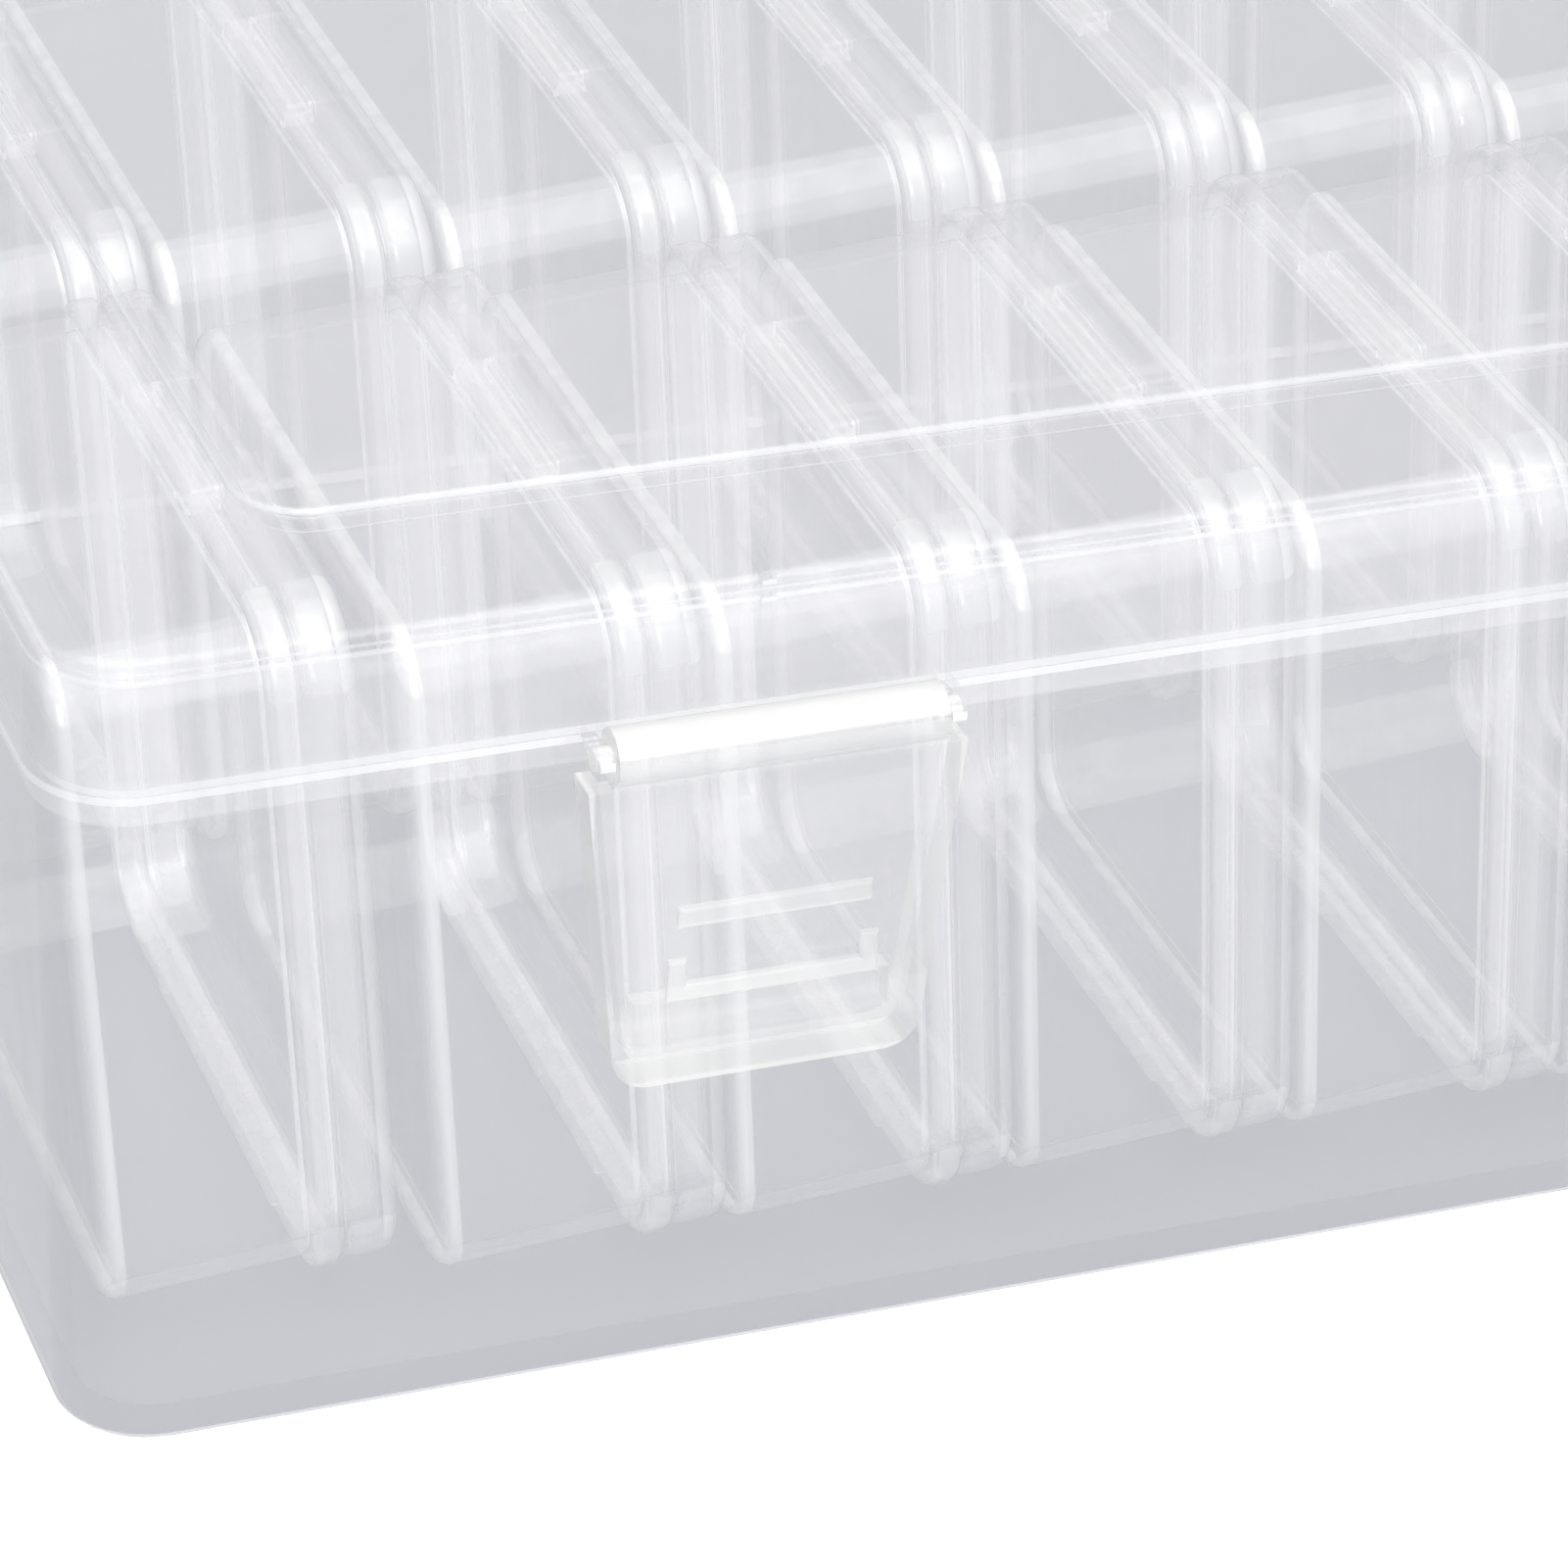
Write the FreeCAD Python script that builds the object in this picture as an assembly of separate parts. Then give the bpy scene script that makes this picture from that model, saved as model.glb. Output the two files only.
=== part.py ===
"""Bead organizer: a long hinged case of frosted polypropylene that holds two rows of small boxes.

Every small box stands on edge and has its own hinged snap lid, which faces the right end of the case.
A flange round each box's mouth hangs lower than its floor edge, so every box leans a little to the left.
The case has a hinged lid with a raised panel, and two flap latches that hang from the lid's front edge.

Axes: X runs along the case, the front is towards -Y and +Z is up. The origin is at the bottom,
in the middle of the whole part's length and depth.
"""
import FreeCAD, Part
import math
import os

Vector = FreeCAD.Vector

# Case lid
skirt_height = 9.9
panel_rise = 1.1
panel_inset_ends = 17.0
panel_inset_sides = 14.7
panel_corner = 5.0
panel_edge_round = 0.45
lid_corner = 6.5
lid_wall = 1.3
lid_top = 1.4
lid_draft = 0.4
lid_inner_draft = 0.15
lid_edge_round = 1.3
headroom = 3.61
lead_in_height = 1.2
lead_in_step = 0.25

# Case base
base_floor = 1.8
base_wall = 1.4
base_inset_bottom = 1.8
base_inset_top = 1.1
base_corner = 6.5
base_edge_round = 1.4
base_inner_round = 1.0
ledge_thickness = 1.5
ledge_inset = 0.5
ledge_gap = 0.25
rim_height = 7.0
rim_wall = 1.1
rim_clearance = 0.3

# Back hinge of the case
hinge_spacing = 131.0
hinge_lug_width = 11.0
hinge_ear_width = 3.0
hinge_side_gap = 0.3
hinge_head_radius = 1.7
hinge_pin_radius = 0.9
hinge_pin_clearance = 0.1
hinge_face_gap = 0.5
hinge_neck = 1.5

# Front latches
latch_from_end = 46.8
latch_barrel_radius = 1.95
latch_barrel_length = 22.2
latch_face_gap = 0.4
latch_top_width = 25.6
latch_tail_width = 20.8
latch_shoulder_drop = 2.0
latch_tail_drop = 24.7
latch_plate = 1.4
latch_plate_forward = 0.9
latch_rim_depth = 1.5
latch_rim_wall = 1.1
latch_corner = 2.6
latch_pin_radius = 0.8
latch_pin_clearance = 0.1
latch_lug_thickness = 1.0
latch_lug_radius = 1.7
latch_lug_gap = 0.2
latch_bead_width = 17.6
latch_bead_height = 3.0
latch_bead_drop = 19.2
latch_bead_round = 0.5
latch_bead_clearance = 0.12
catch_width = 19.4
catch_height = 5.8
catch_stand = 1.3
catch_round = 0.6
catch_gap = 0.3
grip_height = 0.6
grip_bar_width = 13.2
grip_bar_thickness = 1.5
grip_bar_drop = 11.2
cup_width = 14.4
cup_height = 3.1
cup_bar = 1.3
cup_drop = 18.2

# Centre mark moulded on the lid over each latch
mark_width = 1.0
mark_height = 0.4
mark_run = 4.5
mark_drop = 3.4

# Small box, measured from its floor towards its lid
cell_corner = 4.6
cell_floor = 1.0
cell_wall = 1.1
cell_depth = 16.6
cell_edge_round = 1.2
cell_inner_round = 0.8
flange_side = 52.5
flange_rim = 1.0
flange_corner = 5.6
flange_thickness = 2.4
flange_round = 0.8

# Small lid
small_lid_thickness = 3.7
small_lid_top = 1.2
small_lid_wall = 1.2
small_lid_corner = 6.0
small_lid_round = 1.1
parting_gap = 0.1
lip_depth = 1.3
lip_wall = 0.8
lip_clearance = 0.25
hinge_land_length = 29.0
hinge_land_height = 1.0

# Snap at the top of a small box
snap_width = 16.5
snap_side_gap = 0.35
snap_tab_thickness = 1.0
snap_play = 0.12
snap_reach = 2.1
snap_bead = 0.3
snap_bead_width = 0.6
snap_ridge = 0.35
snap_ridge_width = 0.6
snap_ridge_back = 0.1
snap_length_share = 0.8
nib_width = 2.2
nib_length = 1.0
nib_height = 0.5

# Packing of the small boxes in the case
columns = 12
rows = 2
box_gap = 0.47
row_gap = 5.3
finger_gap = 6.15
end_gap = 0.6
seat_gap = 0.2
loose_box_gap = 1.7
loose_box_set_back = 2.6
wall_gap = 0.35

# One overrun for every cut, and how near an edge lies to the plane it is looked for in
overrun = 1.0
near_plane = 0.01

# The small boxes' lean: their floor edge and the flange, which hangs lower, stand on one level
flange_start = cell_depth - flange_thickness
cell_side = flange_side - flange_rim * 2
lean_angle = math.atan(flange_rim / (flange_start - cell_edge_round))
lean = math.degrees(lean_angle)
across = math.cos(lean_angle)
rise = math.sin(lean_angle)

# The rows, worked out from the small boxes
cell_width = cell_depth + parting_gap + small_lid_thickness
column_pitch = (cell_width + box_gap) / across
row_pitch = flange_side + row_gap
box_overhang = cell_side / 2 * rise
box_reach = cell_width * across + box_overhang
tab_low = cell_side / 2 + snap_ridge + snap_play
tab_top = tab_low + snap_tab_thickness
box_middle = base_floor + seat_gap + flange_side / 2 * across - flange_start * rise
tab_end = cell_depth + parting_gap + flange_thickness
box_top = box_middle + tab_top * across + tab_end * rise

# The case, worked out from the rows
rim_inset = lid_wall + rim_clearance
inner_inset_low = base_inset_bottom + base_wall
inner_inset_high = rim_inset + rim_wall
row_length = box_overhang + (columns - 1) * column_pitch + box_reach
case_length = inner_inset_high + wall_gap + loose_box_gap + row_length + end_gap + inner_inset_low
case_depth = (rows - 1) * row_pitch + flange_side + (finger_gap + inner_inset_low) * 2
skirt_top = box_top + headroom + lid_top
skirt_bottom = skirt_top - skirt_height
panel_top = skirt_top + panel_rise
ledge_top = skirt_bottom - ledge_gap
ledge_bottom = ledge_top - ledge_thickness
rim_top = skirt_bottom + rim_height
hinge_reach = hinge_face_gap + hinge_head_radius
latch_axis_out = latch_barrel_radius + latch_face_gap
back_stand_out = hinge_reach + hinge_head_radius
front_stand_out = latch_axis_out + latch_barrel_radius
case_shift_y = (front_stand_out - back_stand_out) / 2


def flat_outline(inset_x, inset_y, radius, height):
    """Corners and corner radius of the case's outline, drawn in by the insets, at a height."""
    x = case_length / 2 - inset_x
    y = case_depth / 2 - inset_y
    corners = [Vector(x, y, height), Vector(-x, y, height), Vector(-x, -y, height), Vector(x, -y, height)]
    return corners, radius


def inside_skirt(inset, height):
    """Outline drawn in evenly from the lid's skirt, with corners about the same centres."""
    return flat_outline(inset, inset, lid_corner - inset, height)


def upright_outline(side, radius, reach):
    """Outline of a small box, in the plane across its own depth, at a reach from its floor."""
    half = side / 2
    corners = [Vector(reach, half, half), Vector(reach, -half, half)]
    corners += [Vector(reach, -half, -half), Vector(reach, half, -half)]
    return corners, radius


def flat_face(corners):
    """Flat face with straight edges between its corners."""
    return Part.Face(Part.makePolygon(corners + corners[:1]))


def between(low, high):
    """Solid with flat sides between two outlines, its corners rounded by the low one's radius."""
    corners_low, radius = low
    corners_high = high[0]
    faces = [flat_face(corners_low[::-1]), flat_face(corners_high)]
    for turn in range(len(corners_low)):
        side = [corners_low[turn - 1], corners_low[turn], corners_high[turn], corners_high[turn - 1]]
        faces.append(flat_face(side))
    solid = Part.Solid(Part.Shell(faces))
    axis = (corners_high[0] - corners_low[0]) + (corners_high[2] - corners_low[2])
    long_edges = []
    for edge in solid.Edges:
        run = edge.Vertexes[1].Point - edge.Vertexes[0].Point
        if abs(run.dot(axis)) > near_plane:
            long_edges.append(edge)
    return solid.makeFillet(radius, long_edges)


def block(x, y, z):
    """Box from three (low, high) pairs."""
    size = (x[1] - x[0], y[1] - y[0], z[1] - z[0])
    return Part.makeBox(size[0], size[1], size[2], Vector(x[0], y[0], z[0]))


def rod(radius, x, y, z):
    """Round bar along X from x[0] to x[1]."""
    return Part.makeCylinder(radius, x[1] - x[0], Vector(x[0], y, z), Vector(1, 0, 0))


def edges_at(shape, axis, value):
    """Edges of a shape that lie wholly in the plane where the axis has the value."""
    found = []
    for edge in shape.Edges:
        box = edge.BoundBox
        low = (box.XMin, box.YMin, box.ZMin)[axis]
        high = (box.XMax, box.YMax, box.ZMax)[axis]
        if abs(low - value) < near_plane and abs(high - value) < near_plane:
            found.append(edge)
    return found


def case_base():
    """Open tray with a stacking ledge and a rim that goes up inside the lid."""
    bottom = flat_outline(base_inset_bottom, base_inset_bottom, base_corner, 0)
    under_ledge = flat_outline(base_inset_top, base_inset_top, base_corner, ledge_bottom)
    shell = between(bottom, under_ledge)
    shell = shell.makeFillet(base_edge_round, edges_at(shell, 2, 0))
    ledge = between(inside_skirt(ledge_inset, ledge_bottom), inside_skirt(ledge_inset, ledge_top))
    rim = between(inside_skirt(rim_inset, ledge_top), inside_skirt(rim_inset, rim_top))
    hollow = between(
        flat_outline(inner_inset_low, inner_inset_low, base_corner - base_wall, base_floor),
        inside_skirt(inner_inset_high, rim_top + overrun),
    )
    hollow = hollow.makeFillet(base_inner_round, edges_at(hollow, 2, base_floor))
    solid = shell.fuse([ledge, rim]).cut(hollow)
    solid = solid.fuse(catch_pads() + base_ears())
    return solid.removeSplitter()


def wall_front(height):
    """Depth, from the case's middle, of the base's front wall at a height."""
    share = height / ledge_bottom
    inset = base_inset_bottom + (base_inset_top - base_inset_bottom) * share
    return case_depth / 2 - inset


def latch_places():
    """X of the middle of each latch."""
    out = case_length / 2 - latch_from_end
    return (-out, out)


def catch_pads():
    """Ridges on the front wall that the latches snap under."""
    pads = []
    low = skirt_bottom - latch_bead_drop + catch_gap
    high = low + catch_height
    face = wall_front(low) + catch_stand
    for middle in latch_places():
        x = (middle - catch_width / 2, middle + catch_width / 2)
        pad = block(x, (-face, -wall_front(low) + base_wall / 2), (low, high))
        pads.append(pad.makeFillet(catch_round, edges_at(pad, 1, -face)))
    return pads


def hinge_axis():
    """Y and Z of the case hinge."""
    return (case_depth / 2 + hinge_reach, skirt_bottom)


def hinge_places():
    """X of the middle of each hinge."""
    return (-hinge_spacing / 2, hinge_spacing / 2)


def base_ears():
    """Bored ears on the back wall that hold the lid's hinge pins."""
    y, z = hinge_axis()
    wall = wall_front(ledge_bottom)
    ears = []
    for middle in hinge_places():
        for side in (-1, 1):
            near = middle + side * (hinge_lug_width / 2 + hinge_side_gap)
            far = near + side * hinge_ear_width
            x = (min(near, far), max(near, far))
            head = rod(hinge_head_radius, x, y, z)
            low = z - hinge_head_radius - hinge_neck * 2
            foot = z - hinge_head_radius - hinge_neck
            points = [
                Vector(x[0], wall - base_wall / 2, ledge_bottom),
                Vector(x[0], wall - base_wall / 2, low),
                Vector(x[0], wall, low),
                Vector(x[0], y + hinge_head_radius, z),
                Vector(x[0], y, z),
                Vector(x[0], y - hinge_head_radius, z),
                Vector(x[0], y - hinge_head_radius, foot + hinge_neck),
            ]
            outline = Part.makePolygon(points + points[:1])
            arm = Part.Face(outline).extrude(Vector(x[1] - x[0], 0, 0))
            bore_x = (x[0] - overrun, x[1] + overrun)
            bore = rod(hinge_pin_radius + hinge_pin_clearance, bore_x, y, z)
            ears.append(arm.fuse(head).cut(bore))
    return ears


def lid_lugs():
    """Hinge lugs on the back of the skirt, each with a pin at both ends."""
    y, z = hinge_axis()
    wall = case_depth / 2
    lugs = []
    for middle in hinge_places():
        x = (middle - hinge_lug_width / 2, middle + hinge_lug_width / 2)
        head = rod(hinge_head_radius, x, y, z)
        neck_y = (wall - lid_wall / 2, y)
        neck = block(x, neck_y, (z + ledge_gap, z + hinge_head_radius))
        reach = hinge_side_gap + hinge_ear_width
        pin = rod(hinge_pin_radius, (x[0] - reach, x[1] + reach), y, z)
        lugs.append(head.fuse([neck, pin]))
    return lugs


def latch_axis():
    """Y and Z of the latch pivots."""
    return (-(case_depth / 2 + latch_axis_out), skirt_bottom)


def latch_lugs():
    """Bored lugs on the front of the skirt that carry the latches."""
    y, z = latch_axis()
    lugs = []
    for middle in latch_places():
        for side in (-1, 1):
            near = middle + side * (latch_barrel_length / 2 + latch_lug_gap)
            far = near + side * latch_lug_thickness
            x = (min(near, far), max(near, far))
            head = rod(latch_lug_radius, x, y, z)
            neck_y = (y, -case_depth / 2 + lid_wall / 2)
            neck = block(x, neck_y, (z + ledge_gap, z + latch_lug_radius))
            bore_x = (x[0] - overrun, x[1] + overrun)
            bore = rod(latch_pin_radius + latch_pin_clearance, bore_x, y, z)
            lugs.append(head.fuse(neck).cut(bore))
    return lugs


def centre_marks():
    """Short raised lines moulded over the lid's front edge, one above each latch."""
    marks = []
    front = -case_depth / 2 + lid_draft
    for middle in latch_places():
        x = (middle - mark_width / 2, middle + mark_width / 2)
        top = block(x, (front, front + mark_run), (skirt_top - lid_top / 2, skirt_top + mark_height))
        face = block(x, (front - mark_height, front + lid_wall / 2), (skirt_top - mark_drop, skirt_top))
        marks += [top, face]
    return marks


def case_lid():
    """Shallow lid with a raised panel, a skirt over the base's rim, hinge lugs and latch lugs."""
    skirt = between(inside_skirt(0, skirt_bottom), inside_skirt(lid_draft, skirt_top))
    skirt = skirt.makeFillet(lid_edge_round, edges_at(skirt, 2, skirt_top))
    panel = between(
        flat_outline(panel_inset_ends, panel_inset_sides, panel_corner, skirt_top - lid_top / 2),
        flat_outline(panel_inset_ends, panel_inset_sides, panel_corner, panel_top),
    )
    panel = panel.makeFillet(panel_edge_round, edges_at(panel, 2, panel_top))
    ceiling = skirt_top - lid_top
    hollow = between(
        inside_skirt(lid_wall, skirt_bottom - overrun),
        inside_skirt(lid_wall + lid_inner_draft, ceiling),
    )
    lead_in = lid_wall - lead_in_step
    mouth = between(
        inside_skirt(lead_in, skirt_bottom - overrun),
        inside_skirt(lead_in, skirt_bottom + lead_in_height),
    )
    inset_x = panel_inset_ends + lid_wall
    inset_y = panel_inset_sides + lid_wall
    corner = panel_corner - lid_wall
    panel_hollow = between(
        flat_outline(inset_x, inset_y, corner, ceiling - overrun),
        flat_outline(inset_x, inset_y, corner, panel_top - lid_top),
    )
    solid = skirt.fuse([panel] + centre_marks())
    solid = solid.cut([hollow, mouth, panel_hollow])
    solid = solid.fuse(lid_lugs() + latch_lugs())
    return solid.removeSplitter()


def latch_outline(grow, y):
    """Tapered outline of a latch's flap, drawn in by a negative grow, in the plane at y."""
    top = skirt_bottom - latch_shoulder_drop
    low = skirt_bottom - latch_tail_drop - grow
    half_top = latch_top_width / 2 + grow
    half_tail = latch_tail_width / 2 + grow
    radius = latch_corner + grow
    taper = math.atan((half_top - half_tail) / (top - low))
    corner = math.pi / 2 - taper
    back = radius * math.tan(corner / 2)
    side = Vector(math.sin(taper), 0, math.cos(taper))
    edges = []
    tail = Vector(half_tail, y, low)
    on_side = tail + side * back
    on_low = tail - Vector(back, 0, 0)
    centre = on_low + Vector(0, 0, radius)
    towards = (tail - centre).normalize()
    middle = centre + towards * radius

    def mirror(point):
        return Vector(-point.x, point.y, point.z)

    corner_top = Vector(half_top, y, top)
    edges.append(Part.LineSegment(mirror(corner_top), corner_top).toShape())
    edges.append(Part.LineSegment(corner_top, on_side).toShape())
    edges.append(Part.Arc(on_side, middle, on_low).toShape())
    edges.append(Part.LineSegment(on_low, mirror(on_low)).toShape())
    edges.append(Part.Arc(mirror(on_low), mirror(middle), mirror(on_side)).toShape())
    edges.append(Part.LineSegment(mirror(on_side), mirror(corner_top)).toShape())
    return Part.Wire(edges)


def latch(middle):
    """Flap latch: a solid barrel with end pins, a tapered dished flap, grip bars and a snap bead."""
    axis_y, axis_z = latch_axis()
    half = latch_barrel_length / 2
    reach = latch_lug_gap + latch_lug_thickness
    barrel = rod(latch_barrel_radius, (-half, half), axis_y, axis_z)
    pins = rod(latch_pin_radius, (-half - reach, half + reach), axis_y, axis_z)
    outer = axis_y - latch_plate_forward
    inner = outer + latch_plate
    rim_face = inner + latch_rim_depth
    flap = Part.Face(latch_outline(0, outer)).extrude(Vector(0, latch_plate + latch_rim_depth, 0))
    dish = Part.Face(latch_outline(-latch_rim_wall, inner)).extrude(Vector(0, latch_rim_depth + overrun, 0))
    flap = flap.cut(dish)
    shoulder = skirt_bottom - latch_shoulder_drop
    neck = block((-half, half), (outer, inner), (shoulder - latch_rim_wall, axis_z))
    bead_top = skirt_bottom - latch_bead_drop
    bead_face = -wall_front(bead_top) - catch_stand - latch_bead_clearance
    bead_x = (-latch_bead_width / 2, latch_bead_width / 2)
    bead = block(bead_x, (inner - latch_plate / 2, bead_face), (bead_top - latch_bead_height, bead_top))
    bead = bead.makeFillet(latch_bead_round, edges_at(bead, 1, bead_face))
    solid = barrel.fuse([pins, flap, neck, bead] + grips(outer))
    solid.translate(Vector(middle, 0, 0))
    return solid.removeSplitter()


def grips(face):
    """Raised finger grips on a flap's outer face: a bar, and below it a bar with turned up ends."""
    y = (face - grip_height, face + latch_plate / 2)
    bar_top = skirt_bottom - grip_bar_drop
    bar_x = (-grip_bar_width / 2, grip_bar_width / 2)
    bar = block(bar_x, y, (bar_top - grip_bar_thickness, bar_top))
    cup_low = skirt_bottom - cup_drop
    cup_x = (-cup_width / 2, cup_width / 2)
    shapes = [bar, block(cup_x, y, (cup_low, cup_low + cup_bar))]
    for side in (-1, 1):
        ends = (side * cup_width / 2, side * (cup_width / 2 - cup_bar))
        x = (min(ends), max(ends))
        shapes.append(block(x, y, (cup_low, cup_low + cup_height)))
    rounded = []
    for shape in shapes:
        edges = edges_at(shape, 1, face - grip_height)
        rounded.append(shape.makeFillet(grip_height / 2, edges))
    return rounded


def cell_body():
    """Small box, lying with its floor in the plane X = 0 and its mouth towards +X."""
    outer = between(
        upright_outline(cell_side, cell_corner, 0),
        upright_outline(cell_side, cell_corner, cell_depth),
    )
    outer = outer.makeFillet(cell_edge_round, edges_at(outer, 0, 0))
    flange = between(
        upright_outline(flange_side, flange_corner, flange_start),
        upright_outline(flange_side, flange_corner, cell_depth),
    )
    rims = edges_at(flange, 0, flange_start) + edges_at(flange, 0, cell_depth)
    flange = flange.makeFillet(flange_round, rims)
    top = flange_side / 2
    wall_top = cell_side / 2
    notch_z = (wall_top, top + overrun)
    notch_x = (flange_start - overrun, cell_depth + overrun)
    notch = block(notch_x, (-snap_width / 2, snap_width / 2), notch_z)
    flange = flange.cut(notch)
    land_y = (-hinge_land_length / 2, hinge_land_length / 2)
    land = block((flange_start, cell_depth), land_y, (-top, -top + hinge_land_height))
    inner_side = cell_side - cell_wall * 2
    inner_corner = cell_corner - cell_wall
    hollow = between(
        upright_outline(inner_side, inner_corner, cell_floor),
        upright_outline(inner_side, inner_corner, cell_depth + overrun),
    )
    hollow = hollow.makeFillet(cell_inner_round, edges_at(hollow, 0, cell_floor))
    ridge_x = (cell_depth - snap_ridge_back - snap_ridge_width, cell_depth - snap_ridge_back)
    ridge_half = snap_width * snap_length_share / 2
    ridge = block(ridge_x, (-ridge_half, ridge_half), (wall_top - cell_wall / 2, wall_top + snap_ridge))
    nib_x = (flange_start - nib_length, flange_start)
    nib_y = (snap_side_gap - snap_width / 2, snap_side_gap - snap_width / 2 + nib_width)
    nib = block(nib_x, nib_y, (wall_top - cell_wall / 2, wall_top + nib_height))
    solid = outer.fuse([flange, land, ridge, nib]).cut(hollow)
    return solid.removeSplitter()


def small_lid():
    """Lid of a small box: a dished plate with an inner lip, half a film hinge and a snap tab."""
    start = cell_depth + parting_gap
    end = start + small_lid_thickness
    outer = between(
        upright_outline(flange_side, small_lid_corner, start),
        upright_outline(flange_side, small_lid_corner, end),
    )
    outer = outer.makeFillet(small_lid_round, edges_at(outer, 0, end))
    outer = outer.makeFillet(flange_round, edges_at(outer, 0, start))
    inner_side = flange_side - small_lid_wall * 2
    lip_side = cell_side - cell_wall * 2 - lip_clearance * 2
    lip_corner = cell_corner - cell_wall
    dish = between(
        upright_outline(inner_side, small_lid_corner - small_lid_wall, start - overrun),
        upright_outline(inner_side, small_lid_corner - small_lid_wall, end - small_lid_top),
    )
    lip = between(
        upright_outline(lip_side, lip_corner, start - lip_depth),
        upright_outline(lip_side, lip_corner, end - small_lid_top / 2),
    )
    lip_inner = lip_side - lip_wall * 2
    lip_hollow = between(
        upright_outline(lip_inner, lip_corner - lip_wall, start - lip_depth - overrun),
        upright_outline(lip_inner, lip_corner - lip_wall, end - small_lid_top),
    )
    top = flange_side / 2
    land_y = (-hinge_land_length / 2, hinge_land_length / 2)
    land = block((start, start + flange_thickness), land_y, (-top, -top + hinge_land_height))
    half = snap_width / 2 - snap_side_gap
    tab_x = (start - snap_reach, tab_end)
    tab = block(tab_x, (-half, half), (tab_low, tab_top))
    tab = tab.makeFillet(snap_bead, edges_at(tab, 2, tab_top))
    bead_x = (start - snap_reach, start - snap_reach + snap_bead_width)
    bead_half = snap_width * snap_length_share / 2
    bead = block(bead_x, (-bead_half, bead_half), (tab_low - snap_bead, tab_low + snap_bead))
    solid = outer.cut(dish).fuse([lip, land, tab, bead]).cut(lip_hollow)
    return solid.removeSplitter()


def cell_placement(row, column):
    """Where a small box stands: leaning left on its floor edge and its flange.

    The boxes are packed from the right end, and the first box of the front row stands loose.
    """
    turned = FreeCAD.Rotation(Vector(0, 1, 0), -lean)
    last = case_length / 2 - inner_inset_low - end_gap - box_reach
    x = last - (columns - 1 - column) * column_pitch
    y = (row - (rows - 1) / 2) * row_pitch
    if row == 0 and column == 0:
        x -= loose_box_gap
        y += loose_box_set_back
    return FreeCAD.Placement(Vector(x, y, box_middle), turned)


def organizer():
    """All pieces by name, in the case's own frame."""
    pieces = {
        "case_base": case_base(),
        "case_lid": case_lid(),
    }
    for name, middle in zip(("latch_left", "latch_right"), latch_places()):
        pieces[name] = latch(middle)
    body = cell_body()
    lid = small_lid()
    for row, row_name in enumerate(("front", "back")[:rows]):
        for column in range(columns):
            place = cell_placement(row, column).toMatrix()
            label = f"{row_name}_{column + 1:02d}"
            pieces[f"box_{label}"] = body.transformed(place)
            pieces[f"box_lid_{label}"] = lid.transformed(place)
    return pieces


def main():
    """Writes one STEP file per piece, shifted so that the whole part is centred over the origin."""
    os.makedirs("parts", exist_ok=True)
    for name, shape in organizer().items():
        shape = shape.copy()
        shape.translate(Vector(0, case_shift_y, 0))
        shape.exportStep(f"parts/{name}.step")
        solids = len(shape.Solids)
        print(f"{name}: {solids} solid, valid {shape.isValid()}, {shape.Volume:.0f} cubic mm")
    print(f"case {case_length:.2f} by {case_depth:.2f} by {panel_top:.2f} mm, lean {lean:.2f} degrees")


main()
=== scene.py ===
"""Bead organizer in a plain studio: a clear polypropylene case packed with small hinged boxes."""
import logging
import math
from dataclasses import dataclass
from enum import Enum
from typing import Any, Optional

import bmesh
import bpy
from mathutils import Matrix, Vector

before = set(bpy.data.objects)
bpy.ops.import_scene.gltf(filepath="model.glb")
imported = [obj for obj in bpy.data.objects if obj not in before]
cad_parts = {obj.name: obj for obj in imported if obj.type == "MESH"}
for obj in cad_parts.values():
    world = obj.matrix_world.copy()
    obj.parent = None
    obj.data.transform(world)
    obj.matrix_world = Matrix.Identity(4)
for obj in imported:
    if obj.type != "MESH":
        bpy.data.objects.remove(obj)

MM = 0.001
LOG = logging.getLogger("organizer")
WHITE = "ffffff"
NATURAL_RESIN = "f4f4f6"


def linear(hex_colour: str) -> tuple[float, float, float, float]:
    """Turns an sRGB hex colour into Blender's linear colour.

    Args:
        hex_colour: Six hex digits, with or without a leading hash sign.

    Returns:
        Red, green, blue and an alpha of 1.
    """
    digits = hex_colour.lstrip("#")
    channels = []
    for start in (0, 2, 4):
        value = int(digits[start:start + 2], 16) / 255
        low = value / 12.92
        high = ((value + 0.055) / 1.055) ** 2.4
        channels.append(low if value <= 0.04045 else high)
    return (*channels, 1.0)


def add_node(tree: bpy.types.NodeTree, kind: str, settings: Optional[dict[str, Any]] = None,
             inputs: Optional[dict[Any, Any]] = None) -> bpy.types.Node:
    """Adds one node with its settings, its input values and its links.

    Args:
        tree: Node tree that gets the node.
        kind: Blender's name for the kind of node.
        settings: Node properties by name.
        inputs: Values by socket name or number; a socket as a value makes a link.

    Returns:
        The new node.
    """
    node = tree.nodes.new(kind)
    for name, value in (settings or {}).items():
        setattr(node, name, value)
    for name, value in (inputs or {}).items():
        if isinstance(value, bpy.types.NodeSocket):
            tree.links.new(value, node.inputs[name])
        else:
            node.inputs[name].default_value = value
    return node


class Faces(Enum):
    """Which faces a layer of thickness bands whitens."""

    ACROSS = 0
    ALL = 1


@dataclass(frozen=True)
class Band:
    """A stretch where the eye looks along a wall or into a thick place, so that it turns white."""

    low_mm: float
    high_mm: float
    milkiness: float
    soft_mm: float = 0.12


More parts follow.
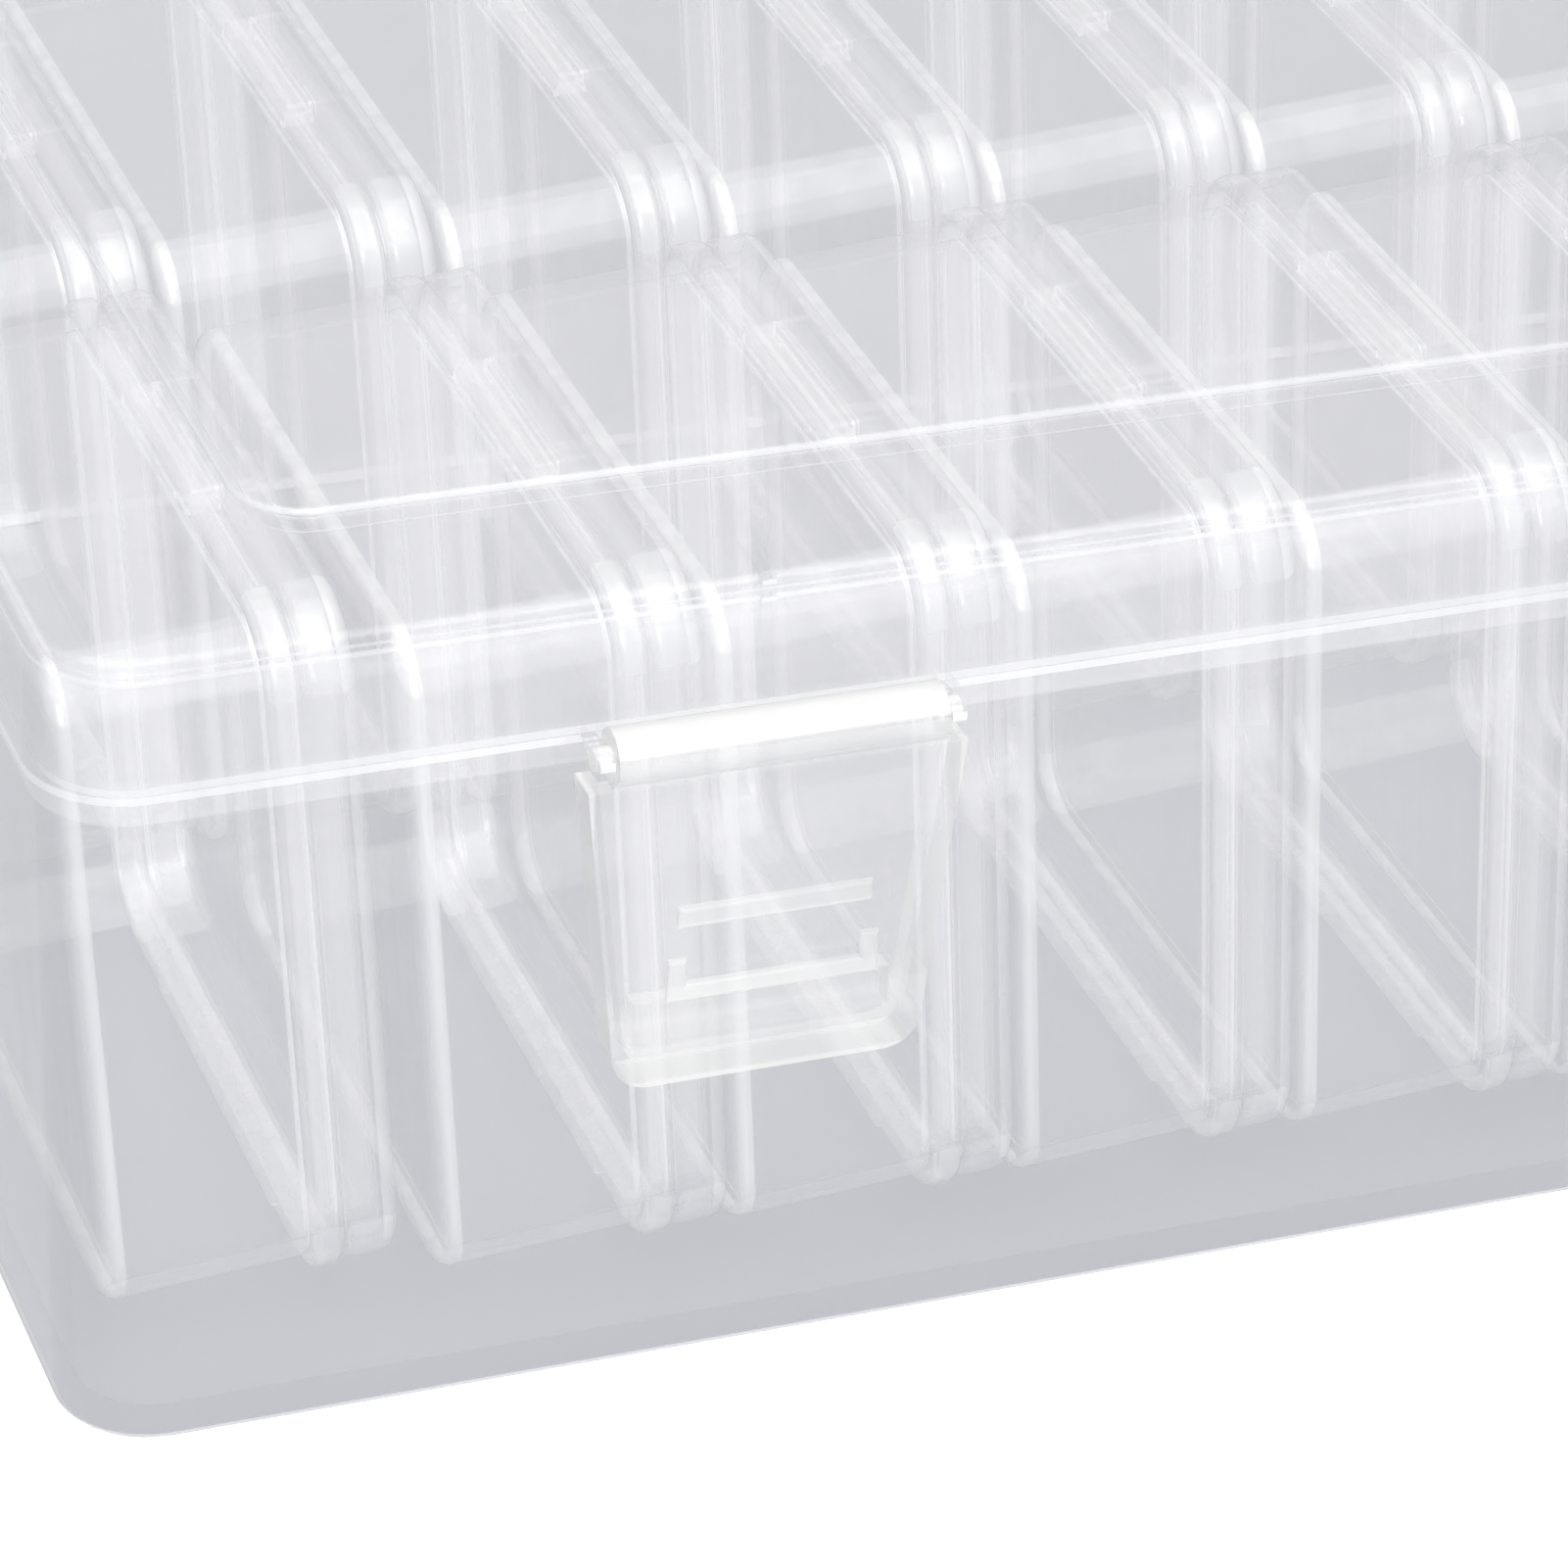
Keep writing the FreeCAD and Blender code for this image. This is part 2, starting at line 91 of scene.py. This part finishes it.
@dataclass(frozen=True)
class Layer:
    """Thickness bands along one axis, once or repeated at the same pitch.

    By default the axis runs up from the table over the case's whole height.
    """

    bands: tuple[Band, ...]
    axis: tuple[float, float, float] = (0.0, 0.0, 1.0)
    start_mm: float = 0.0
    length_mm: float = 62.0
    repeated: bool = False
    faces: Faces = Faces.ACROSS

    def reach(self, tree: bpy.types.NodeTree) -> bpy.types.NodeSocket:
        """Measures how far along the layer a place lies.

        Args:
            tree: Node tree of the material.

        Returns:
            A socket that runs from 0 to 1 over the layer's length.
        """
        place = add_node(tree, "ShaderNodeTexCoord").outputs["Object"]
        along = add_node(tree, "ShaderNodeVectorMath", {"operation": "DOT_PRODUCT"}, {
            0: place, 1: self.axis,
        })
        reach = add_node(tree, "ShaderNodeMapRange", {"clamp": not self.repeated}, {
            "Value": along.outputs["Value"], "From Min": self.start_mm * MM,
            "From Max": (self.start_mm + self.length_mm) * MM,
        }).outputs[0]
        if self.repeated:
            reach = add_node(tree, "ShaderNodeMath", {"operation": "FRACT"}, {0: reach}).outputs[0]
        return reach

    def milkiness(self, tree: bpy.types.NodeTree) -> bpy.types.NodeSocket:
        """Works out how much the bands whiten each place.

        Args:
            tree: Node tree of the material.

        Returns:
            A socket with the share of light that the bands stop.
        """
        ramp = add_node(tree, "ShaderNodeValToRGB", {}, {0: self.reach(tree)})
        elements = ramp.color_ramp.elements
        elements[0].color = elements[1].color = (0.0, 0.0, 0.0, 1.0)
        for band in self.bands:
            corners = (
                (band.low_mm - band.soft_mm, 0.0), (band.low_mm, band.milkiness),
                (band.high_mm, band.milkiness), (band.high_mm + band.soft_mm, 0.0),
            )
            for place_mm, value in corners:
                element = elements.new(min(max(place_mm / self.length_mm, 0.0), 1.0))
                element.color = (value, value, value, 1.0)
        if self.faces is Faces.ALL:
            return ramp.outputs["Color"]
        normal = add_node(tree, "ShaderNodeTexCoord").outputs["Normal"]
        turned = add_node(tree, "ShaderNodeVectorMath", {"operation": "DOT_PRODUCT"}, {
            0: normal, 1: self.axis,
        })
        squared = add_node(tree, "ShaderNodeMath", {"operation": "MULTIPLY"}, {
            0: turned.outputs["Value"], 1: turned.outputs["Value"],
        })
        across = add_node(tree, "ShaderNodeMath", {"operation": "SUBTRACT"}, {
            0: 1.0, 1: squared.outputs[0],
        })
        return add_node(tree, "ShaderNodeMath", {"operation": "MULTIPLY"}, {
            0: ramp.outputs["Color"], 1: across.outputs[0],
        }).outputs[0]


@dataclass(frozen=True)
class Polypropylene:
    """Natural polypropylene, injection moulded in a polished mould.

    The resin is a milky clear. A wall seen face-on is nearly see-through, and the same wall seen
    along its length, as at a rim, a rounded corner or the edge of a floor, turns white. The mould
    leaves a soft gloss. The melt leaves faint clouds, drawn out along its flow, and a slight
    waviness. The milky share alone carries the gloss, so the IOR of a thin wall is raised until
    the whole face reflects the few percent that clear polypropylene does.
    """

    name: str
    layers: tuple[Layer, ...]
    thin: float
    edge: float
    edge_sharpness: float
    roughness: float
    flow_mm: tuple[float, float, float]
    flow_share: float
    colour: str = NATURAL_RESIN
    wave_mm: float = 35.0
    wave_height_mm: float = 0.05
    ior: float = 2.2
    cloud_reach: tuple[float, float] = (0.35, 0.65)
    gloss_reach: tuple[float, float] = (0.3, 0.7)
    gloss_spread: tuple[float, float] = (0.8, 1.25)

    def thickness(self, tree: bpy.types.NodeTree) -> bpy.types.NodeSocket:
        """Works out how milky each place is when it is seen face-on.

        Args:
            tree: Node tree of the material.

        Returns:
            A socket with the share of light that the face stops.
        """
        total: Any = self.thin
        for layer in self.layers:
            total = add_node(tree, "ShaderNodeMath", {"operation": "ADD"}, {
                0: layer.milkiness(tree), 1: total,
            }).outputs[0]
        return total

    def material(self) -> bpy.types.Material:
        """Builds the material.

        Returns:
            A material that mixes see-through and milky shaders by thickness and angle of view.
        """
        material = bpy.data.materials.new(self.name)
        material.use_nodes = True
        tree = material.node_tree
        tree.nodes.clear()
        place = add_node(tree, "ShaderNodeTexCoord").outputs["Object"]
        drawn = add_node(tree, "ShaderNodeMapping", {}, {
            "Vector": place, "Scale": [1 / (length * MM) for length in self.flow_mm],
        })
        flow = add_node(tree, "ShaderNodeTexNoise", {}, {
            "Vector": drawn.outputs[0], "Scale": 1.0, "Detail": 1.0, "Roughness": 0.5,
        })
        facing = add_node(tree, "ShaderNodeLayerWeight", {}, {"Blend": 0.5})
        steep = add_node(tree, "ShaderNodeMath", {"operation": "POWER"}, {
            0: facing.outputs["Facing"], 1: self.edge_sharpness,
        })
        milky = add_node(tree, "ShaderNodeMapRange", {}, {
            "Value": steep.outputs[0], "To Min": self.thickness(tree), "To Max": self.edge,
        })
        cloudy = add_node(tree, "ShaderNodeMapRange", {}, {
            "Value": flow.outputs["Fac"],
            "From Min": self.cloud_reach[0], "From Max": self.cloud_reach[1],
            "To Min": 1 - self.flow_share, "To Max": 1 + self.flow_share,
        })
        opacity = add_node(tree, "ShaderNodeMath", {"operation": "MULTIPLY", "use_clamp": True}, {
            0: milky.outputs[0], 1: cloudy.outputs[0],
        })
        rough = add_node(tree, "ShaderNodeMapRange", {}, {
            "Value": flow.outputs["Fac"],
            "From Min": self.gloss_reach[0], "From Max": self.gloss_reach[1],
            "To Min": self.roughness * self.gloss_spread[0],
            "To Max": self.roughness * self.gloss_spread[1],
        })
        resin = add_node(tree, "ShaderNodeBsdfPrincipled", {}, {
            "Base Color": linear(self.colour), "Roughness": rough.outputs[0], "IOR": self.ior,
        })
        if self.wave_height_mm:
            waves = add_node(tree, "ShaderNodeTexNoise", {}, {
                "Vector": place, "Scale": 1 / (self.wave_mm * MM), "Detail": 1.0,
                "Roughness": 0.45,
            })
            bump = add_node(tree, "ShaderNodeBump", {}, {
                "Strength": 1.0, "Distance": self.wave_height_mm * MM,
                "Height": waves.outputs["Fac"],
            })
            tree.links.new(bump.outputs[0], resin.inputs["Normal"])
        clear = add_node(tree, "ShaderNodeBsdfTransparent", {}, {"Color": linear(WHITE)})
        mixed = add_node(tree, "ShaderNodeMixShader", {}, {
            0: opacity.outputs[0], 1: clear.outputs[0], 2: resin.outputs[0],
        })
        add_node(tree, "ShaderNodeOutputMaterial", {}, {"Surface": mixed.outputs[0]})
        return material


@dataclass(frozen=True)
class BoxPolypropylene(Polypropylene):
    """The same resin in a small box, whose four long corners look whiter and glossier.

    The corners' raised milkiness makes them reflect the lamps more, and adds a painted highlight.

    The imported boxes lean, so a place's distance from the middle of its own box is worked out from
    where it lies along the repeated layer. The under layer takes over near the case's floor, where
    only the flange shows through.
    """

    under: Optional[Layer] = None
    lean_deg: float = 0.0
    row_mm: float = 0.0
    middle_mm: float = 27.08
    corner_mm: tuple[float, float] = (46.7, 47.0)
    # Milkiness of the long corners: partly painted highlight, partly more gloss that reflects the
    # lamps.
    corner_milk_and_painted_highlight: float = 0.22
    under_mm: tuple[float, float] = (5.0, 6.0)

    def from_middle(self, tree: bpy.types.NodeTree) -> bpy.types.NodeSocket:
        """Adds up how far a place lies sideways and upwards from the middle of its box.

        Args:
            tree: Node tree of the material.

        Returns:
            A socket with the sum of both distances in metres, which is largest at the corners.
        """
        lean = math.radians(self.lean_deg)
        box = self.layers[0]
        place = add_node(tree, "ShaderNodeTexCoord").outputs["Object"]
        parts = add_node(tree, "ShaderNodeSeparateXYZ", {}, {0: place})
        sideways = add_node(tree, "ShaderNodeMath", {"operation": "SUBTRACT"}, {
            0: parts.outputs["Y"], 1: self.row_mm * MM,
        })
        raised = add_node(tree, "ShaderNodeMath", {"operation": "MULTIPLY_ADD"}, {
            0: box.reach(tree), 1: -box.length_mm * MM * math.sin(lean), 2: parts.outputs["Z"],
        })
        upright = add_node(tree, "ShaderNodeMath", {"operation": "MULTIPLY_ADD"}, {
            0: raised.outputs[0], 1: 1 / math.cos(lean), 2: -self.middle_mm * MM / math.cos(lean),
        })
        lengths = []
        for way in (sideways, upright):
            length = add_node(tree, "ShaderNodeMath", {"operation": "ABSOLUTE"}, {
                0: way.outputs[0],
            })
            lengths.append(length.outputs[0])
        return add_node(tree, "ShaderNodeMath", {"operation": "ADD"}, {
            0: lengths[0], 1: lengths[1],
        }).outputs[0]

    def thickness(self, tree: bpy.types.NodeTree) -> bpy.types.NodeSocket:
        """Adds the long corners, and swaps the bands for the under layer's near the floor.

        Args:
            tree: Node tree of the material.

        Returns:
            A socket with the share of light that the face stops.
        """
        # Corner whitening: a painted highlight, and more gloss that reflects the lamps.
        corner = add_node(tree, "ShaderNodeMapRange", {}, {
            "Value": self.from_middle(tree), "From Min": self.corner_mm[0] * MM,
            "From Max": self.corner_mm[1] * MM, "To Max": self.corner_milk_and_painted_highlight,
        })
        place = add_node(tree, "ShaderNodeTexCoord").outputs["Object"]
        parts = add_node(tree, "ShaderNodeSeparateXYZ", {}, {0: place})
        height = add_node(tree, "ShaderNodeMapRange", {}, {
            "Value": parts.outputs["Z"], "From Min": self.under_mm[0] * MM,
            "From Max": self.under_mm[1] * MM,
        })
        bands = add_node(tree, "ShaderNodeMapRange", {}, {
            "Value": height.outputs[0], "To Min": self.under.milkiness(tree),
            "To Max": super().thickness(tree),
        })
        return add_node(tree, "ShaderNodeMath", {"operation": "ADD"}, {
            0: bands.outputs[0], 1: corner.outputs[0],
        }).outputs[0]


def dress(node: str, material: bpy.types.Material, shadow: bool = True) -> None:
    """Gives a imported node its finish.

    Args:
        node: Name of the node.
        material: Its material.
        shadow: Whether it throws a shadow; thin clear mouldings throw none that the eye can see.
    """
    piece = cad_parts[node]
    piece.data.materials.clear()
    piece.data.materials.append(material)
    piece.visible_shadow = shadow
    LOG.info("%s: %s", node, material.name)


@dataclass
class Case:
    """The outer case: base, lid and the two latches.

    The base's bands are heights over the table. The lid's are heights over lid_start_mm, and the
    latch's over latch_foot_mm. The sides of both latches are bands over one repeated length.
    """

    foot_line: Band = Band(0.25, 0.8, 0.7)
    foot_mm: float = 6.0
    base_bands: tuple[Band, ...] = (
        Band(48.55, 50.05, 0.25),
        Band(56.3, 57.3, 0.2),
    )
    lid_start_mm: float = 48.0
    lid_mm: float = 14.0
    lid_bands: tuple[Band, ...] = (
        Band(2.3, 2.8, 0.5),
        Band(3.1, 10.3, 0.05),
        Band(10.6, 10.85, 0.35),
        Band(11.85, 12.1, 0.4),
        Band(12.4, 12.5, 0.1),
        Band(12.8, 13.15, 0.5),
    )
    latch_foot_mm: float = 25.5
    latch_mm: float = 30.0
    latch_bands: tuple[Band, ...] = (
        Band(0.1, 0.45, 0.35),
        Band(2.9, 5.3, 0.12, soft_mm=0.4),
        Band(22.8, 25.2, 0.16, soft_mm=0.2),
        Band(25.5, 26.8, 0.5, soft_mm=0.2),
    )
    latch_left_mm: float = -97.51
    latch_pitch_mm: float = 28.237
    latch_sides: tuple[Band, ...] = (
        Band(0.05, 0.4, 0.35),
        Band(25.2, 25.55, 0.35),
    )
    grip_front_mm: float = -68.4
    grip_mm: float = 8.0
    grip_bands: tuple[Band, ...] = (Band(0.05, 0.75, 0.22, soft_mm=0.05),)
    latches: tuple[str, ...] = ("latch_left", "latch_right")

    def base_finish(self) -> Polypropylene:
        """Describes the tray's resin.

        Returns:
            A finish that is white along the tray's foot, its ledge and the top of its rim.
        """
        foot = Layer((self.foot_line,), length_mm=self.foot_mm, faces=Faces.ALL)
        return Polypropylene(
            name="natural_polypropylene_case_base_moulded", layers=(foot, Layer(self.base_bands)),
            thin=0.045, edge=0.5, edge_sharpness=5.0, roughness=0.12, flow_mm=(40, 40, 120),
            flow_share=0.2,
        )

    def lid_finish(self) -> Polypropylene:
        """Describes the lid's resin.

        Returns:
            A finish that is white along the edges of the skirt and the step of the panel.
        """
        rise = Layer(self.lid_bands, start_mm=self.lid_start_mm, length_mm=self.lid_mm)
        return Polypropylene(
            name="natural_polypropylene_case_lid_moulded", layers=(rise,),
            thin=0.045, edge=0.5, edge_sharpness=5.0, roughness=0.1, flow_mm=(60, 40, 60),
            flow_share=0.2,
        )

    def latch_finish(self) -> Polypropylene:
        """Describes the latches' resin.

        Returns:
            A finish that is nearly white in the solid barrel and milky at the rims and grips.
        """
        rise = Layer(
            self.latch_bands, start_mm=self.latch_foot_mm, length_mm=self.latch_mm, faces=Faces.ALL,
        )
        sides = Layer(
            self.latch_sides, (1.0, 0.0, 0.0), self.latch_left_mm, self.latch_pitch_mm,
            repeated=True, faces=Faces.ALL,
        )
        grips = Layer(
            self.grip_bands, (0.0, 1.0, 0.0), self.grip_front_mm, self.grip_mm, faces=Faces.ALL,
        )
        return Polypropylene(
            name="natural_polypropylene_latch_moulded", layers=(rise, sides, grips),
            thin=0.12, edge=0.8, edge_sharpness=2.6, roughness=0.2, flow_mm=(9, 9, 18),
            flow_share=0.15, colour="f1f1ef", wave_mm=9.0, wave_height_mm=0.03, ior=1.49,
        )

    def build(self) -> None:
        """Dresses the case's own pieces."""
        dress("case_base", self.base_finish().material())
        dress("case_lid", self.lid_finish().material(), shadow=False)
        resin = self.latch_finish().material()
        for node in self.latches:
            dress(node, resin, shadow=False)


@dataclass
class SmallBoxes:
    """The rows of small boxes and their lids, all leaning left by the same angle.

    The bands are depths from a box's floor towards its lid: floor plate, flange with its two rims,
    parting line, lid with its outer rim. From below, only the floor plate and the flange show.
    """

    lean_deg: float = 4.398
    pitch_mm: float = 20.87
    floor_place_mm: float = 107.18
    loose_shift_mm: float = 1.695
    loose_set_back_mm: float = 2.6
    rows_middle_mm: float = 0.2
    half_row_pitch_mm: float = 28.9
    bands: tuple[Band, ...] = (
        Band(0.1, 1.5, 0.45),
        Band(14.2, 14.45, 0.42),
        Band(14.7, 16.1, 0.14),
        Band(16.4, 16.6, 0.38),
        Band(16.8, 16.9, 0.3),
        Band(17.2, 19.0, 0.08),
        Band(19.2, 20.1, 0.3),
    )
    under_bands: tuple[Band, ...] = (
        Band(0.1, 1.5, 0.45),
        Band(14.4, 16.4, 0.3),
    )
    loose: str = "front_01"
    prefix: str = "box_"
    front_row: str = "front"

    def finish(self, row: str, row_mm: float, shift_mm: float = 0.0) -> Polypropylene:
        """Describes the resin of small boxes that stand at whole steps of the pitch from a place.

        Args:
            row: Name of the boxes' row.
            row_mm: Where the middle of their row lies, from the middle of the case.
            shift_mm: How far left of that place they stand, measured across their floors.

        Returns:
            The finish, white along each floor plate, flange and lid where they are seen edge-on.
        """
        lean = math.radians(self.lean_deg)
        along = (math.cos(lean), 0.0, math.sin(lean))
        place = self.floor_place_mm - shift_mm
        return BoxPolypropylene(
            name=f"natural_polypropylene_box_{row}_moulded",
            layers=(Layer(self.bands, along, place, self.pitch_mm, repeated=True),),
            thin=0.05, edge=0.45, edge_sharpness=4.5, roughness=0.08, flow_mm=(2.4, 2.4, 45),
            flow_share=0.15, wave_height_mm=0.0,
            under=Layer(self.under_bands, along, place, self.pitch_mm, repeated=True),
            lean_deg=self.lean_deg, row_mm=row_mm,
        )

    def build(self) -> None:
        """Dresses every small box and its lid."""
        front_mm = self.rows_middle_mm - self.half_row_pitch_mm
        back_mm = self.rows_middle_mm + self.half_row_pitch_mm
        loose_mm = front_mm + self.loose_set_back_mm
        front_resin = self.finish("front", front_mm).material()
        back_resin = self.finish("back", back_mm).material()
        loose_resin = self.finish("loose", loose_mm, self.loose_shift_mm).material()
        for node in sorted(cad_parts):
            if node.endswith(self.loose):
                dress(node, loose_resin, shadow=False)
            elif node.startswith(self.prefix):
                dress(node, front_resin if self.front_row in node else back_resin, shadow=False)


@dataclass
class PhotoCamera:
    """The camera, where a fit to the photograph's straight edges puts it."""

    azimuth_deg: float = -21.24
    elevation_deg: float = 30.67
    roll_deg: float = -2.70
    lens_mm: float = 156.23
    sensor_mm: float = 36.0
    place_mm: tuple[float, float, float] = (-218.86, -413.50, 267.13)
    near_m: float = 0.01
    far_m: float = 20.0

    def build(self) -> None:
        """Adds the camera and makes it the scene's own."""
        azimuth = math.radians(self.azimuth_deg)
        elevation = math.radians(self.elevation_deg)
        roll = math.radians(self.roll_deg)
        back = Vector((math.sin(azimuth) * math.cos(elevation),
                       -math.cos(azimuth) * math.cos(elevation), math.sin(elevation)))
        level = Vector((math.cos(azimuth), math.sin(azimuth), 0))
        down = (-back).cross(level)
        right = level * math.cos(roll) + down * math.sin(roll)
        up = -(down * math.cos(roll) - level * math.sin(roll))
        data = bpy.data.cameras.new("photo_camera")
        data.lens = self.lens_mm
        data.sensor_width = self.sensor_mm
        data.clip_start = self.near_m
        data.clip_end = self.far_m
        camera = bpy.data.objects.new("photo_camera", data)
        turned = Matrix((right, up, back)).transposed().to_4x4()
        camera.matrix_world = Matrix.Translation(Vector(self.place_mm) * MM) @ turned
        bpy.context.scene.collection.objects.link(camera)
        bpy.context.scene.camera = camera
        LOG.info("%s: %.1f mm lens", camera.name, self.lens_mm)


@dataclass(frozen=True)
class SoftBox:
    """A square lamp that looks at the middle of the case."""

    name: str
    watts: float
    size_m: float
    place_m: tuple[float, float, float]
    looks_at_m: tuple[float, float, float] = (0.0, 0.0, 0.03)

    def build(self) -> None:
        """Hangs the lamp."""
        data = bpy.data.lights.new(self.name, "AREA")
        data.energy = self.watts
        data.size = self.size_m
        lamp = bpy.data.objects.new(self.name, data)
        lamp.location = self.place_m
        look = Vector(self.looks_at_m) - Vector(self.place_m)
        lamp.rotation_euler = look.to_track_quat("-Z", "Y").to_euler()
        bpy.context.scene.collection.objects.link(lamp)
        LOG.info("%s: %.1f W", self.name, self.watts)


@dataclass
class Studio:
    """White sweep, plain soft lamps and a white world.

    The sweep is pale grey. Where the eye or a reflection meets it bare, with no clear wall in
    front, it glows on to white. Through the case it gets no glow, and its grey there is painted
    shade under and inside the case. The case's shadow shows on it as well.
    """

    floor_m: float = 6.0
    floor_drop_m: float = 0.0002
    # The sweep's grey shows only through the case, where it is painted shade.
    painted_shade_paper: str = "c7c8ce"
    glow: float = 0.7
    bare_depth: float = 0.5
    world_strength: float = 0.47
    lamps: tuple[SoftBox, ...] = (
        SoftBox("soft_box_above", 6.5, 1.2, (-0.15, -0.35, 0.95)),
        SoftBox("soft_box_front", 9.0, 0.8, (-0.35, -1.3, 0.4)),
    )
    clear_layers: int = 48
    diffuse_bounces: int = 2
    glossy_bounces: int = 1

    def floor(self) -> None:
        """Adds the floor: lit, white where bare and unshadowed, painted shade through the case."""
        mesh = bpy.data.meshes.new("studio_floor")
        build = bmesh.new()
        bmesh.ops.create_grid(build, x_segments=1, y_segments=1, size=self.floor_m / 2)
        build.to_mesh(mesh)
        build.free()
        floor = bpy.data.objects.new("studio_floor", mesh)
        floor.location.z = -self.floor_drop_m
        bpy.context.scene.collection.objects.link(floor)
        material = bpy.data.materials.new("white_paper_sweep")
        material.use_nodes = True
        tree = material.node_tree
        tree.nodes.clear()
        path = add_node(tree, "ShaderNodeLightPath")
        # Seen through a clear wall the floor gets no glow, so its grey there is painted shade.
        bare = add_node(tree, "ShaderNodeMath", {"operation": "LESS_THAN"}, {
            0: path.outputs["Transparent Depth"], 1: self.bare_depth,
        })
        seen = add_node(tree, "ShaderNodeMath", {"operation": "MAXIMUM"}, {
            0: path.outputs["Is Camera Ray"], 1: path.outputs["Is Glossy Ray"],
        })
        direct = add_node(tree, "ShaderNodeMath", {"operation": "MULTIPLY"}, {
            0: seen.outputs[0], 1: bare.outputs[0],
        })
        painted_shade_paper = add_node(tree, "ShaderNodeBsdfDiffuse", {}, {"Color": linear(self.painted_shade_paper)})
        glow = add_node(tree, "ShaderNodeEmission", {}, {
            "Color": linear(WHITE), "Strength": self.glow,
        })
        both = add_node(tree, "ShaderNodeAddShader", {}, {
            0: painted_shade_paper.outputs[0], 1: glow.outputs[0],
        })
        mixed = add_node(tree, "ShaderNodeMixShader", {}, {
            0: direct.outputs[0], 1: painted_shade_paper.outputs[0], 2: both.outputs[0],
        })
        add_node(tree, "ShaderNodeOutputMaterial", {}, {"Surface": mixed.outputs[0]})
        mesh.materials.append(material)

    def world(self) -> None:
        """Adds a world that is white to the eye and in reflections, and a soft even light."""
        world = bpy.data.worlds.new("white_studio")
        bpy.context.scene.world = world
        world.use_nodes = True
        tree = world.node_tree
        tree.nodes.clear()
        path = add_node(tree, "ShaderNodeLightPath")
        seen = path.outputs["Is Camera Ray"]
        for kind in ("Is Glossy Ray", "Is Transmission Ray"):
            seen = add_node(tree, "ShaderNodeMath", {"operation": "MAXIMUM"}, {
                0: seen, 1: path.outputs[kind],
            }).outputs[0]
        strength = add_node(tree, "ShaderNodeMapRange", {}, {
            "Value": seen, "To Min": self.world_strength, "To Max": 1.0,
        })
        sky = add_node(tree, "ShaderNodeBackground", {}, {
            "Color": linear(WHITE), "Strength": strength.outputs[0],
        })
        add_node(tree, "ShaderNodeOutputWorld", {}, {"Surface": sky.outputs[0]})

    def build(self) -> None:
        """Sets up the floor, the lamps, the world and the view."""
        self.floor()
        for lamp in self.lamps:
            lamp.build()
        self.world()
        scene = bpy.context.scene
        scene.view_settings.view_transform = "Standard"
        scene.cycles.transparent_max_bounces = self.clear_layers
        scene.cycles.diffuse_bounces = self.diffuse_bounces
        scene.cycles.glossy_bounces = self.glossy_bounces


def main() -> None:
    """Builds every sub-assembly, the camera and the studio."""
    logging.basicConfig(level=logging.INFO, format="%(name)s %(message)s")
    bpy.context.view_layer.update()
    Case().build()
    SmallBoxes().build()
    PhotoCamera().build()
    Studio().build()


if __name__ == "__main__":
    main()
